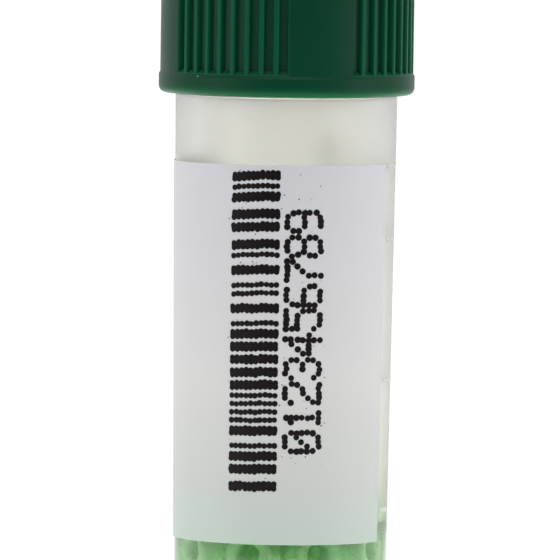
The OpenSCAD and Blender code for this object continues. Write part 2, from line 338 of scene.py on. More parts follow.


# %% [markdown]
# ### Milky polypropylene
# The tube is natural polypropylene: it lets light through but blurs it, so that the beads show clearly
# only where they touch the wall. A rough transmission gives that blur. Volume scattering would be truer
# and many times slower; on a wall of one millimetre the eye can't tell.
#
# Where the wall is wet inside, up to the level of the fluid, it hides much less than where it is dry, so
# it gets milkier and rougher above that level. Just over the fluid the wall is painted green for the
# light that the beads send into it, and this painted light fades on its way up. The foot is dry too: it
# is a skirt with air behind it, so it turns milky again below the round bottom. The colour is a touch
# cooler where the wall thickens towards the neck, and a narrow grey band of painted shade marks the
# shoulder's edge, where the cap all but touches it and little light gets in. Flow lines run up the tube,
# in the direction in which it was filled.

# %% Levels in the tube
BEADS_ABOVE_FLUID = 2.3 * MM
PILE_TOP = max(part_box(name)[1].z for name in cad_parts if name.startswith("bead"))
FLUID_TOP = PILE_TOP - BEADS_ABOVE_FLUID
FOOT_TOP = tube_low.z + 6.8 * MM
FOOT_BLEND_H = 1.6 * MM
THICKENING_FOOT = PANEL_TOP - 2 * MM
print("pile top in mm:", round(PILE_TOP / MM, 2), "fluid top:", round(FLUID_TOP / MM, 2))

# %% Material: milky polypropylene
WET_MILK = srgb(250, 252, 246)
BEAD_LIGHT_MILK = srgb(172, 216, 160)
FADING_BEAD_LIGHT_MILK = srgb(200, 212, 182)
DRY_MILK = srgb(237, 237, 230)
THICK_MILK = srgb(238, 238, 233)
SHADED_MILK = srgb(166, 166, 161)
SPECK_BROWN = srgb(150, 146, 135)
WET_HAZE = 0.06
DRY_HAZE = 0.34
DRYING_H = 0.8 * MM
CREEP_H = 0.2 * MM
BEAD_LIGHT_H = 1.3 * MM
BEAD_LIGHT_FADE_H = 7.5 * MM
SHADE_H = 0.22 * MM
SEAM_H = 0.06 * MM
FLOW_TONE = (1, 1, 0.35)
FLOW_GRAIN = (1, 1, 0.25)


def height_mask(tree, place, low, high):
    """A mask that goes from 0 at the height low to 1 at the height high."""
    return use_group(tree, height_rise, place, Low=low, High=high)["Mask"]


def build_milky_plastic():
    material, tree, shader, place = start_material(
        "milky_polypropylene",
        IOR=1.49, Transmission_Weight=1.0, Specular_IOR_Level=0.4,
    )
    foot = height_mask(tree, place, FOOT_TOP, FOOT_TOP - FOOT_BLEND_H)
    dry = height_mask(tree, place, FLUID_TOP - DRYING_H, FLUID_TOP + CREEP_H)
    over_bead_light = height_mask(tree, place, FLUID_TOP, FLUID_TOP + BEAD_LIGHT_H)
    over_bead_light_fade = height_mask(tree, place, FLUID_TOP, FLUID_TOP + BEAD_LIGHT_FADE_H)
    thick = height_mask(tree, place, THICKENING_FOOT, cap_low.z)
    shoulder = height_mask(tree, place, cap_low.z - SHADE_H, cap_low.z - SEAM_H)
    neck = height_mask(tree, place, cap_low.z, cap_low.z + SHADE_H)

    # Painted light: green from the beads, strongest just over the fluid and fading upwards.
    milk = mix_colour(tree, over_bead_light_fade, FADING_BEAD_LIGHT_MILK, DRY_MILK)
    milk = mix_colour(tree, over_bead_light, BEAD_LIGHT_MILK, milk)
    milk = mix_colour(tree, dry, WET_MILK, milk)
    milk = mix_colour(tree, foot, milk, DRY_MILK)
    milk = mix_colour(tree, thick, milk, THICK_MILK)
    # Painted shade: a narrow grey band at the shoulder's edge, just under the cap.
    milk = mix_colour(tree, math_node(tree, "SUBTRACT", shoulder, neck), milk, SHADED_MILK)
    drift = use_group(tree, tone_drift, stretched(tree, place, FLOW_TONE),
                      Color=milk, Patch_Size=3.2 * MM, Drift=0.05)
    specks = use_group(tree, flecks, place, Spacing=2.6 * MM, Spot_Size=0.022, Kept=0.14)
    colour = mix_colour(tree, specks["Mask"], drift["Color"], SPECK_BROWN)
    tree.links.new(colour, shader.inputs["Base Color"])

    haze = tree.nodes.new("ShaderNodeMapRange")
    haze.interpolation_type = "SMOOTHSTEP"
    haze.inputs["To Min"].default_value = WET_HAZE
    haze.inputs["To Max"].default_value = DRY_HAZE
    tree.links.new(math_node(tree, "MAXIMUM", dry, foot), haze.inputs["Value"])
    give_skin(tree, shader, stretched(tree, place, FLOW_GRAIN), depth=0.012 * MM,
              Grain_Size=0.5 * MM, Cloud_Size=4 * MM,
              Roughness=haze.outputs["Result"], Spread=0.08)
    return material


milky_plastic = build_milky_plastic()
print("material:", milky_plastic.name)

# %% [markdown]
# ### Green moulding
# The cap is the same plastic with so much pigment that hardly any light gets through. Its rounded lower
# edge is painted a clearer green: painted light, for the light from the floor and the tube that its thin
# edge lets through. Its skin is satin: wide, weak reflections that only grow strong at the edges, where
# the eye meets the surface at a low angle. Handling leaves a little dust in it. The gate, where the
# plastic entered the mould, is a small mark in the middle of the top, and the relief draws it as a
# shallow round dimple.
#
# The grip isn't one tone. The smooth pads between two banks of grooves are the deepest green. The crests
# of the ribs are painted lighter, as painted light for the light they catch from the sides, and the
# floors of the grooves are painted a little lighter and greyer, as painted light against their shade. To
# put these tones where the shape has them, the grip is measured first, on the cap's own corners: the
# radius of its ribs, that of its groove floors, and the gaps of more than ten degrees between two floors,
# which are the pads.

# %% Measure the grip
BANKS = 4
BAND_TOP = cap_low.z + 1.2 * MM
GRIP_TOP = cap_high.z - 0.8 * MM
ROUNDING_FOOT = cap_high.z - 1 * MM
OUTSIDE_R = 0.9 * cap_high.x
FLOOR_REACH = 0.02 * MM
NARROWEST_PAD = 10
grip_corners = [
    v.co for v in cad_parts["cap"].data.vertices
    if BAND_TOP < v.co.z < ROUNDING_FOOT and math.hypot(v.co.x, v.co.y) > OUTSIDE_R
]
cap_r = max(math.hypot(c.x, c.y) for c in grip_corners)
groove_r = min(math.hypot(c.x, c.y) for c in grip_corners)
floor_corners = [c for c in grip_corners if math.hypot(c.x, c.y) < groove_r + FLOOR_REACH]
floor_angles = sorted(math.degrees(math.atan2(c.y, c.x)) for c in floor_corners)
pads = [
    (after - before, (before + after) / 2)
    for before, after in zip(floor_angles, floor_angles[1:]) if after - before > NARROWEST_PAD
]
print("cap radius", round(cap_r / MM, 3), "groove floor", round(groove_r / MM, 3))
print("pads (width, middle):", [(round(w, 1), round(m, 1)) for w, m in pads])

# %% Material: green moulding
DEEP_GREEN = srgb(0, 52, 33)
RIB_CREST_LIGHT_GREEN = srgb(0, 70, 44)
GROOVE_FILL_LIGHT_GREEN = srgb(12, 58, 40)
PAINTED_RIM_LIGHT_GREEN = srgb(0, 80, 44)
DUST_GREEN = srgb(96, 142, 118)
RIM_GLOW_H = 0.6 * MM
BANK_MARGIN = 1
GATE_FLOOR_R = 0.45 * MM
GATE_EDGE_R = 0.75 * MM
GATE_STEP = 7.0


def bank_mask(tree, place):
    """1 in the banks of grooves and 0 on the smooth pads, the band below and the top."""
    width, middle = pads[0]
    split = tree.nodes.new("ShaderNodeSeparateXYZ")
    tree.links.new(place, split.inputs["Vector"])
    angle = math_node(tree, "ARCTAN2", split.outputs["Y"], split.outputs["X"])
    turned = math_node(tree, "SUBTRACT", angle, math.radians(middle))
    from_pad = math_node(tree, "PINGPONG", turned, math.radians(180 / BANKS))
    bank = math_node(tree, "GREATER_THAN", from_pad, math.radians(width / 2 - BANK_MARGIN))
    above = math_node(tree, "GREATER_THAN", split.outputs["Z"], BAND_TOP)
    below = math_node(tree, "LESS_THAN", split.outputs["Z"], GRIP_TOP)
    return math_node(tree, "MULTIPLY", bank, math_node(tree, "MULTIPLY", above, below))


def radius_mask(tree, place, low, high):
    """Rises from 0 at the radius low to 1 at the radius high."""
    flat = tree.nodes.new("ShaderNodeVectorMath")
    flat.operation = "MULTIPLY"
    flat.inputs[1].default_value = (1, 1, 0)
    tree.links.new(place, flat.inputs[0])
    away = tree.nodes.new("ShaderNodeVectorMath")
    away.operation = "LENGTH"
    tree.links.new(flat.outputs["Vector"], away.inputs[0])
    rise = tree.nodes.new("ShaderNodeMapRange")
    rise.interpolation_type = "SMOOTHSTEP"
    rise.inputs["From Min"].default_value = low
    rise.inputs["From Max"].default_value = high
    tree.links.new(away.outputs["Value"], rise.inputs["Value"])
    return rise.outputs["Result"]


def build_green_moulding():
    material, tree, shader, place = start_material(
        "green_moulding",
        IOR=1.49, Specular_IOR_Level=0.12,
    )
    # Painted light: the rounded lower rim is painted a clearer green for the light that comes through it.
    edge = height_mask(tree, place, cap_low.z, cap_low.z + RIM_GLOW_H)
    # Painted light: rib crests and groove floors are painted lighter than the pads.
    ribs = mix_colour(tree, radius_mask(tree, place, groove_r, cap_r), GROOVE_FILL_LIGHT_GREEN, RIB_CREST_LIGHT_GREEN)
    green = mix_colour(tree, bank_mask(tree, place), DEEP_GREEN, ribs)
    green = mix_colour(tree, edge, PAINTED_RIM_LIGHT_GREEN, green)
    drift = use_group(tree, tone_drift, place,
                      Color=green, Patch_Size=4 * MM, Drift=0.16)
    dust = use_group(tree, flecks, place, Spacing=1.7 * MM, Spot_Size=0.036, Kept=0.16)
    colour = mix_colour(tree, dust["Mask"], drift["Color"], DUST_GREEN)
    tree.links.new(colour, shader.inputs["Base Color"])

    skin = use_group(tree, moulded_skin, place,
                     Grain_Size=0.16 * MM, Cloud_Size=3 * MM, Roughness=0.42, Spread=0.12)
    tree.links.new(skin["Roughness"], shader.inputs["Roughness"])
    gate = math_node(tree, "MULTIPLY", radius_mask(tree, place, GATE_FLOOR_R, GATE_EDGE_R), GATE_STEP)
    add_bump(tree, shader, math_node(tree, "ADD", skin["Relief"], gate), depth=0.012 * MM)
    return material


green_moulding = build_green_moulding()
print("material:", green_moulding.name)

# %% [markdown]
# ### Silicone
# The washer is off-white silicone: soft to look at, without grain, and slightly translucent at its
# edges, which a little subsurface scattering gives.

# %% Material: silicone
def build_silicone():
    material, tree, shader, place = start_material(
        "seal_silicone",
        IOR=1.41, Subsurface_Weight=0.35, Subsurface_Scale=0.8 * MM, Specular_IOR_Level=0.4,
    )
    drift = use_group(tree, tone_drift, place,
                      Color=srgb(226, 222, 210), Patch_Size=1.6 * MM, Drift=0.06)
    tree.links.new(drift["Color"], shader.inputs["Base Color"])
    give_skin(tree, shader, place, depth=0.004 * MM,
              Grain_Size=0.08 * MM, Cloud_Size=1.5 * MM, Roughness=0.5, Spread=0.14)
    return material


seal_silicone = build_silicone()
print("material:", seal_silicone.name)

# %% [markdown]
# ### Bead ceramic
# The beads are porous, so that cells can hold on to them: a matt green body, full of pits. The pits are
# flecks again, this time as a relief and a slightly darker tone.

# %% Material: bead ceramic
BEAD_GREEN = srgb(180, 254, 176)
PIT_GREEN = srgb(146, 236, 138)


def build_bead_ceramic():
    material, tree, shader, place = start_material("bead_ceramic", Specular_IOR_Level=0.3)
    drift = use_group(tree, tone_drift, place,
                      Color=BEAD_GREEN, Patch_Size=1.2 * MM, Drift=0.2)
    pits = use_group(tree, flecks, place, Spacing=0.24 * MM, Spot_Size=0.3, Kept=0.55)
    colour = mix_colour(tree, pits["Mask"], drift["Color"], PIT_GREEN)
    tree.links.new(colour, shader.inputs["Base Color"])
    skin = use_group(tree, moulded_skin, place,
                     Grain_Size=0.09 * MM, Cloud_Size=0.8 * MM, Roughness=0.72, Spread=0.2)
    tree.links.new(skin["Roughness"], shader.inputs["Roughness"])
    relief = math_node(tree, "SUBTRACT", skin["Relief"], pits["Mask"])
    add_bump(tree, shader, relief, depth=0.02 * MM)
    return material


bead_ceramic = build_bead_ceramic()
print("material:", bead_ceramic.name)

# %% [markdown]
# ### Screen-printed white
# The panel is a coat of white ink, thick enough to write on. It covers almost fully: only a trace of
# what lies behind shows. That light from behind is painted: a ramp along the height makes the panel cool
# white where the tube is empty and darker and faintly green down where the beads are. The same ink, with
# an almost even ramp, makes the scale.

# %% Material: white ink
TINT_FADE_H = 6 * MM


def build_white_ink(name, stops):
    """White ink whose colour runs through (height, colour) stops."""
    material, tree, shader, place = start_material(name, Specular_IOR_Level=0.35)
    ramp = tree.nodes.new("ShaderNodeValToRGB")
    tree.links.new(height_mask(tree, place, PANEL_FOOT, PANEL_TOP), ramp.inputs["Fac"])
    while len(ramp.color_ramp.elements) < len(stops):
        ramp.color_ramp.elements.new(0.5)
    for element, (level, colour) in zip(ramp.color_ramp.elements, stops):
        element.position = (level - PANEL_FOOT) / (PANEL_TOP - PANEL_FOOT)
        element.color = colour
    drift = use_group(tree, tone_drift, place,
                      Color=ramp.outputs["Color"], Patch_Size=2.4 * MM, Drift=0.035)
    tree.links.new(drift["Color"], shader.inputs["Base Color"])
    give_skin(tree, shader, place, depth=0.003 * MM,
              Grain_Size=0.12 * MM, Cloud_Size=2 * MM, Roughness=0.55, Spread=0.1)
    return material


# The stops paint the light from behind: darker and faintly green where the beads are, cooler white above.
panel_white = build_white_ink("panel_white", [
    (PANEL_FOOT, srgb(153, 166, 157)),
    (PILE_TOP, srgb(163, 166, 163)),
    (PILE_TOP + TINT_FADE_H, srgb(176, 176, 175)),
    (PANEL_TOP, srgb(178, 178, 183)),
])
scale_white = build_white_ink("scale_white", [
    (PANEL_FOOT, srgb(167, 171, 165)),
    (PANEL_TOP, srgb(169, 171, 171)),
])
print("materials:", panel_white.name, scale_white.name)

# %% [markdown]
# ### Ink-jet black
# The code is sprayed on with a warm black ink. It dries uneven, a little browner where it is thin.

# %% Material: ink-jet black
def build_jet_black():
    material, tree, shader, place = start_material("jet_black", Specular_IOR_Level=0.12)
    drift = use_group(tree, tone_drift, place,
                      Color=srgb(13, 7, 9), Patch_Size=0.5 * MM, Drift=0.6)
    tree.links.new(drift["Color"], shader.inputs["Base Color"])
    give_skin(tree, shader, place, depth=0.003 * MM,
              Grain_Size=0.05 * MM, Cloud_Size=0.6 * MM, Roughness=0.5, Spread=0.2)
    return material


jet_black = build_jet_black()
print("material:", jet_black.name)

# %% [markdown]
# ### Fluid
# Clear and thin, with the faintest straw tint. A good part of it is glycerol, so it bends light more than
# water does and almost as much as the plastic.

# %% Material: fluid
def build_fluid():
    material, tree, shader, place = start_material(
        "clear_fluid",
        IOR=1.45, Transmission_Weight=1.0, Roughness=0.0,
    )
    drift = use_group(tree, tone_drift, place,
                      Color=srgb(250, 252, 244), Patch_Size=3 * MM, Drift=0.03)
    tree.links.new(drift["Color"], shader.inputs["Base Color"])
    return material


clear_fluid = build_fluid()
print("material:", clear_fluid.name)

# %% [markdown]
# The CAD nodes keep their shapes and only change their material slots.

# %% Dress the CAD nodes
DRESS = {"tube": milky_plastic, "cap": green_moulding, "seal_washer": seal_silicone,
         "writing_panel": panel_white}
for name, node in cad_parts.items():
    finish = DRESS.get(name, bead_ceramic)
    for slot in node.material_slots:
        slot.material = finish
print("dressed:", len(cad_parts), "nodes")

# %% [markdown]
# ## The sprayed code
# An ink-jet coder writes with single drops. It lays them down in columns while the tube passes, so a
# thin bar of the code is one row of drops, a wide bar is three rows that run together, and the digits
# beside it are drops on a coarser grid. The drop is modelled once: a flat circle that is pulled up
# twice, each time a little narrower, until it is a low dome.

# %% Model one drop of ink
DROP_R = 0.168 * MM
DROP_H = 0.014 * MM
DOME_STEPS = ((0.6, 0.93), (0.4, 0.62))


def model_drop():
    """One drop. A dome step is a share of the height, and how much narrower the drop gets there."""
    clear_selection()
    bpy.ops.mesh.primitive_circle_add(vertices=12, radius=DROP_R, fill_type="NGON")
    drop = bpy.context.object
    bpy.ops.object.mode_set(mode="EDIT")
    bpy.ops.mesh.select_all(action="SELECT")
    for rise, narrower in DOME_STEPS:
        bpy.ops.mesh.extrude_region_move(TRANSFORM_OT_translate={"value": (0, 0, rise * DROP_H)})
        bpy.ops.transform.resize(value=(narrower, narrower, 1))
    bpy.ops.mesh.select_all(action="SELECT")
    bpy.ops.mesh.normals_make_consistent(inside=False)
    bpy.ops.object.mode_set(mode="OBJECT")
    return drop


drop = model_drop()
print("one drop:", len(drop.data.polygons), "faces")

# %% [markdown]
# A printed mark lies on the wall. Its own Z axis becomes the wall's outward direction, so the drop is
# turned first and then moved. Each drop differs slightly from the next in size and place, with a fixed
# seed so that the print is the same every time.

# %% Lay drops on the panel
dice = random.Random(7)
SUNK = 0.003 * MM
DROP_SIZES = (0.94, 1.08)


def lay_drop(across, height, size=1.0, stray=0.012 * MM):
    """A copy of the drop on the panel, with its own mesh."""
    across += dice.gauss(0, stray)
    height += dice.gauss(0, stray)
    size *= dice.uniform(*DROP_SIZES)
    spot = on_wall(across, height, panel_r(height) - SUNK)
    outwards = Vector((spot.x, spot.y, -wall_lean * panel_r(height))).normalized()
    turn = outwards.to_track_quat("Z", "Y").to_matrix().to_4x4()
    one = drop.copy()
    one.data = drop.data.copy()
    one.data.transform(Matrix.Translation(spot) @ turn @ Matrix.Diagonal((size, size, 1, 1)))
    bpy.context.collection.objects.link(one)
    return one


# %% [markdown]
# The bars below follow no code: their widths come from the seeded dice, in the mix of thin and wide
# that such a label has. Ten drops make a row. The print head has two groups of nozzles that never line
# up perfectly, so every bar has a small step. The drops right of the middle fly ahead a little, which
# gives the bars at the top a slight arch, and it fades on the way down.

# %% Print the bars
ROW_DROPS = 10
LEFT_GROUP = 6
ROW_PITCH = 0.278 * MM
HEAD_STEP = 0.02 * MM
ARCH = 0.11 * MM
WIDE_ROWS = 3
WIDE_PITCH = 0.125 * MM
THIN_GAP = 0.125 * MM
WIDE_GAP = 0.38 * MM
CODE_TOP = PANEL_TOP - 0.54 * MM
CODE_LENGTH = 17.6 * MM
CODE_FOOT = CODE_TOP - CODE_LENGTH
CODE_LEFT = -2.92 * MM
WIDE_BARS = 0.45
WIDE_GAPS = 0.28


def lay_row(height):
    """One row of drops, from left to right."""
    marks = []
    early = (height - CODE_TOP) / CODE_LENGTH + 1
    for k in range(ROW_DROPS):
        across = CODE_LEFT + k * ROW_PITCH
        arch = ARCH * early * (1 - (k / LEFT_GROUP - 1) ** 2)
        step = HEAD_STEP if k >= LEFT_GROUP else -HEAD_STEP
        marks.append(lay_drop(across, height + arch + step))
    return marks


def print_bars():
    """Bars from the top of the code to its foot. WIDE_BARS and WIDE_GAPS are the shares of wide ones."""
    marks = []
    height = CODE_TOP
    bars = 0
    while height > CODE_FOOT:
        rows = WIDE_ROWS if dice.random() < WIDE_BARS else 1
        for _ in range(rows):
            marks += lay_row(height)
            height -= WIDE_PITCH
        height += WIDE_PITCH
        height -= 2 * DROP_R + (WIDE_GAP if dice.random() < WIDE_GAPS else THIN_GAP)
        bars += 1
    print("bars:", bars)
    return join(marks, "code_bars")


code_bars = print_bars()
print("bar mesh:", len(code_bars.data.polygons), "faces")

# %% [markdown]
# The digits simply count up. Each is a pattern of five columns and seven rows, turned by a quarter so
# that it reads upwards along the tube: the top of a digit points to the left.

# %% Print the digits
DIGITS = {
    "0": "01110 10001 10011 10101 11001 10001 01110",
    "1": "00100 01100 00100 00100 00100 00100 01110",
    "2": "01110 10001 00001 00110 01000 10000 11111",
    "3": "01110 10001 00001 00110 00001 10001 01110",
    "4": "00010 00110 01010 10010 11111 00010 00010",
    "5": "11111 10000 11110 00001 00001 10001 01110",
    "6": "01110 10000 10000 11110 10001 10001 01110",
    "7": "11111 00001 00010 00100 01000 01000 01000",
    "8": "01110 10001 10001 01110 10001 10001 01110",
    "9": "01110 10001 10001 01111 00001 00001 01110",
}
DIGIT_ROW = 0.318 * MM
DIGIT_COLUMN = 0.255 * MM
DIGIT_STEP = 1.37 * MM
DIGITS_LEFT = 0.16 * MM
DIGITS_FOOT = PANEL_TOP - 15.98 * MM
DIGIT_DROP = 1.08
DIGIT_STRAY = 0.022 * MM


def print_digits(text):
    """One digit above the other. The dots of a row run upwards, and the next row lies to its right."""
    marks = []
    for place, digit in enumerate(text):
        for row, line in enumerate(DIGITS[digit].split()):
            for column, dot in enumerate(line):
                if dot == "1":
                    height = DIGITS_FOOT + place * DIGIT_STEP + column * DIGIT_COLUMN
                    across = DIGITS_LEFT + row * DIGIT_ROW
                    marks.append(lay_drop(across, height, size=DIGIT_DROP, stray=DIGIT_STRAY))
    return join(marks, "code_digits")


code_digits = print_digits("0123456789")
print("digits:", len(code_digits.data.polygons), "faces")

# %% [markdown]
# A few drops always break up on their way, and their spray lies round the code as fine dots.

# %% Print the spray
SPRAY_DROPS = 110
SPRAY_ACROSS = (CODE_LEFT - 0.35 * MM, CODE_LEFT + 5.4 * MM)
SPRAY_HEIGHTS = (CODE_FOOT - 0.2 * MM, CODE_TOP + 0.4 * MM)
SPRAY_SIZES = (0.1, 0.26)


def print_spray():
    """Fine drops, scattered evenly over the code and a little beyond it."""
    marks = []
    for _ in range(SPRAY_DROPS):
        across = dice.uniform(*SPRAY_ACROSS)
        height = dice.uniform(*SPRAY_HEIGHTS)
        marks.append(lay_drop(across, height, size=dice.uniform(*SPRAY_SIZES), stray=0))
    return join(marks, "code_spray")


code_spray = print_spray()
clear_selection()
drop.select_set(True)
bpy.ops.object.delete()
print("spray:", len(code_spray.data.polygons), "faces")

# %% [markdown]
# ## The scale
# White strokes beside the panel mark the volume in millilitres, and the numbers stand at their ends, on
# the back of the tube. Through the empty tube they would read in reverse. A stroke is a small upright
# rectangle, spun about the tube's axis so that it follows the wall. MARKS says, for each number, how far
# its stroke lies below the panel's upper edge.

# %% Model the strokes
SCALE_INK = 0.012 * MM
STROKE_H = 0.2 * MM
STROKE_START = 67.0
STROKE_SPAN = 46.0
STROKE_FACET = 2
MARKS = {"1.8": 0.13 * MM, "1.5": 4.25 * MM, "1.0": 12.2 * MM, "0.5": 19.5 * MM}


def turn_all(degrees, axis):
    """Turns what is selected about the origin. Run without a window, the operator turns backwards."""
    bpy.ops.transform.rotate(
        value=-math.radians(degrees), orient_axis=axis, orient_type="GLOBAL", center_override=(0, 0, 0)
    )


def model_stroke(height):
    """A bar that follows the wall to the right of STROKE_START."""
    width = SCALE_INK + SUNK
    clear_selection()
    bpy.ops.mesh.primitive_plane_add(size=1)
    stroke = bpy.context.object
    bpy.ops.object.mode_set(mode="EDIT")
    bpy.ops.mesh.select_all(action="SELECT")
    bpy.ops.transform.resize(value=(width, STROKE_H, 1))
    turn_all(90, "X")
    bpy.ops.transform.translate(value=(wall_r(height) + width / 2 - SUNK, 0, height))
    turn_all(STROKE_START - 90, "Z")
    bpy.ops.mesh.spin(
        steps=round(STROKE_SPAN / STROKE_FACET), angle=math.radians(-STROKE_SPAN),
        center=(0, 0, 0), axis=(0, 0, 1)
    )
    bpy.ops.mesh.select_all(action="SELECT")
    bpy.ops.mesh.normals_make_consistent(inside=False)
    bpy.ops.object.mode_set(mode="OBJECT")
    return stroke


def stroke_reach(stroke):
    """First and last direction of a stroke, in degrees from the front."""
    turns = [math.degrees(math.atan2(v.co.x, -v.co.y)) for v in stroke.data.vertices]
    return round(min(turns), 1), round(max(turns), 1)


strokes = [model_stroke(PANEL_TOP - depth) for depth in MARKS.values()]
print("stroke reaches from", *stroke_reach(strokes[0]), "degrees")
scale_strokes = join(strokes, "scale_strokes")
print("strokes:", len(scale_strokes.data.polygons), "faces")

# %% [markdown]
# A number starts as text. It becomes a mesh, and is cut into upright strips so that it can bend; then
# every corner is carried to its own place on the wall, and a Solidify modifier gives the ink its
# thickness.

# %% Model the numbers
NUMBER_H = 2.1 * MM
FIGURE_SHARE = 0.7
NUMBER_RISE = 0.2 * MM
NUMBER_TURN = 139.5
STRIP = 0.15 * MM
STRIPS_ASIDE = 12


def model_number(label, height):
    """A number bent round the wall, its middle at NUMBER_TURN degrees from the front.

    A figure fills only FIGURE_SHARE of its font's size.
    """
    clear_selection()
    bpy.ops.object.text_add()
    number = bpy.context.object
    number.data.body = label
    number.data.align_x = "CENTER"
    number.data.align_y = "CENTER"
    number.data.size = NUMBER_H / FIGURE_SHARE
    number.data.resolution_u = 4
    bpy.ops.object.convert(target="MESH")
    bpy.ops.object.mode_set(mode="EDIT")
    for k in range(-STRIPS_ASIDE, STRIPS_ASIDE + 1):
        bpy.ops.mesh.select_all(action="SELECT")
        bpy.ops.mesh.bisect(plane_co=(k * STRIP, 0, 0), plane_no=(1, 0, 0))
    bpy.ops.mesh.select_all(action="SELECT")
    bpy.ops.mesh.remove_doubles(threshold=0.002 * MM)
    bpy.ops.object.mode_set(mode="OBJECT")
    for vertex in number.data.vertices:
        level = height + vertex.co.y
        radius = wall_r(level) - SUNK
        across = radius * math.radians(NUMBER_TURN) + vertex.co.x
        vertex.co = on_wall(across, level, radius)
    skin = number.modifiers.new("ink", "SOLIDIFY")
    skin.thickness = SCALE_INK + SUNK
    skin.offset = 1
    bpy.ops.object.modifier_apply(modifier=skin.name)
    return number


numbers = [model_number(label, PANEL_TOP - depth + NUMBER_RISE) for label, depth in MARKS.items()]
scale_numbers = join(numbers, "scale_numbers")
print("numbers:", len(scale_numbers.data.polygons), "faces")

# %% [markdown]
# ## Preservative fluid
# The beads stand in a little clear fluid, and only the last few stick out of it. It matters more than
# its quantity suggests: a tube of plastic with air in it hides the edge of what it holds, but with fluid
# in it, which bends light almost as the plastic does, it shows the beads right out to its sides. A plane
# is merged to one point, the point is extruded step by step into an outline, and the outline is spun
# into a round body: up the round bottom, up the bore's wall, and in along a surface that creeps up where
# it wets the wall. It reaches a hair into the wall, so that no air is left between the two.
#
# The bore is measured first. Its floor is the highest corner on the axis. The round bottom is half a
# ball, so its equator is where a corner is as far from the axis as it is above that floor.

# %% Measure the bore
AXIS_REACH = 0.2 * MM
corners = [v.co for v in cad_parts["tube"].data.vertices]
bore_floor = max(c.z for c in corners if math.hypot(c.x, c.y) < AXIS_REACH)
mouth_r = min(math.hypot(c.x, c.y) for c in corners if c.z > tube_high.z - LEVEL_REACH)
inner = [c for c in corners if bore_floor < c.z < bore_floor + mouth_r + AXIS_REACH]
equator = min(inner, key=lambda c: abs(math.hypot(c.x, c.y) - (c.z - bore_floor)))
ball_r = math.hypot(equator.x, equator.y)
ball_z = bore_floor + ball_r
bore_lean = (mouth_r - ball_r) / (tube_high.z - ball_z)
print("bore floor in mm:", round(bore_floor / MM, 2))
print("radius of ball and mouth in mm:", round(ball_r / MM, 3), round(mouth_r / MM, 3))

# %% Model the fluid
INTO_WALL = 0.03 * MM
ARC_STEP = 6
MENISCUS = 0.2 * MM
CREEP_WIDTH = 1.4
CREEP_STEPS = 8


def fluid_outline():
    """Corners from the bottom of the ball, up the wall and in to the axis, as (radius, height)."""
    outer = ball_r + INTO_WALL
    arc = [
        (outer * math.sin(math.radians(t)), ball_z - outer * math.cos(math.radians(t)))
        for t in range(0, 90, ARC_STEP)
    ]
    wall_top = FLUID_TOP + MENISCUS
    edge = ball_r + bore_lean * (wall_top - ball_z) + INTO_WALL
    creep = [
        (edge - MENISCUS * CREEP_WIDTH * (k / CREEP_STEPS),
         FLUID_TOP + MENISCUS * (1 - k / CREEP_STEPS) ** 3)
        for k in range(CREEP_STEPS + 1)
    ]
    return arc + [(outer, ball_z)] + creep + [(0, FLUID_TOP)]


def model_fluid():
    """The body of fluid, spun from its outline."""
    clear_selection()
    bpy.ops.mesh.primitive_plane_add(size=1 * MM)
    fluid = bpy.context.object
    fluid.name = "preservative_fluid"
    outline = fluid_outline()
    bpy.ops.object.mode_set(mode="EDIT")
    bpy.ops.mesh.select_mode(type="VERT")
    bpy.ops.mesh.select_all(action="SELECT")
    bpy.ops.mesh.merge(type="CENTER")
    bpy.ops.transform.translate(value=(outline[0][0], 0, outline[0][1]))
    for (r, z), (next_r, next_z) in zip(outline, outline[1:]):
        bpy.ops.mesh.extrude_region_move(TRANSFORM_OT_translate={"value": (next_r - r, 0, next_z - z)})
    bpy.ops.mesh.select_all(action="SELECT")
    bpy.ops.mesh.spin(steps=72, angle=math.radians(360), center=(0, 0, 0), axis=(0, 0, 1))
    bpy.ops.mesh.select_all(action="SELECT")
    bpy.ops.mesh.remove_doubles(threshold=0.001 * MM)
    bpy.ops.mesh.normals_make_consistent(inside=False)
    bpy.ops.object.mode_set(mode="OBJECT")
    clear_selection()
    fluid.select_set(True)
    bpy.ops.object.shade_smooth_by_angle(angle=math.radians(40))
    return fluid


preservative_fluid = model_fluid()
print("fluid:", len(preservative_fluid.data.polygons), "faces")

# %% [markdown]
# ## Camera and light
# The camera stands a long way off with a long lens, so that the cylinder shows hardly any perspective.
# It looks slightly down, and is rolled by less than a degree, as a camera held by hand is.

# %% Camera
VIEW_HEIGHT = cap_low.z - 10.55 * MM
VIEW_ASIDE = -0.22 * MM
VIEW_DISTANCE = 0.6
VIEW_DOWN = math.radians(3.3)
VIEW_ROLL = math.radians(0.8)
VIEW_LENS = 684
VIEW_SENSOR = 36


def facing(back):
    """The turn of a camera or lamp that looks against the direction back."""
    return (-back).to_track_quat("-Z", "Y")


def set_camera():
    """A camera that looks at the vial's axis from VIEW_DISTANCE metres."""
    data = bpy.data.cameras.new("camera")
    data.lens = VIEW_LENS
    data.sensor_width = VIEW_SENSOR
    data.clip_start = 0.05
    data.clip_end = 20
    camera = bpy.data.objects.new("camera", data)
    bpy.context.collection.objects.link(camera)
    back = Vector((0, -math.cos(VIEW_DOWN), math.sin(VIEW_DOWN)))
    camera.location = Vector((VIEW_ASIDE, 0, VIEW_HEIGHT)) + VIEW_DISTANCE * back
    camera.rotation_mode = "QUATERNION"
    camera.rotation_quaternion = facing(back) @ Quaternion((0, 0, 1), VIEW_ROLL)
    return camera


bpy.context.scene.camera = set_camera()
print("camera at", tuple(round(c, 4) for c in bpy.context.scene.camera.location))

# %% [markdown]
# The set is a light tent: everything behind and around the vial is white, and only the side where the
# camera stands is dim. That side is what the satin cap reflects, which keeps its green deep. The world
# shader draws the tent: its strength grows along the Y axis, from the dim side to the white one. What
# the camera sees of it directly is plain white all round.

# %% World
DIM_SIDE = -0.75
WHITE_SIDE = 0.35
DIM_STRENGTH = 0.10
WHITE_STRENGTH = 1.0
BACKDROP_STRENGTH = 1.05


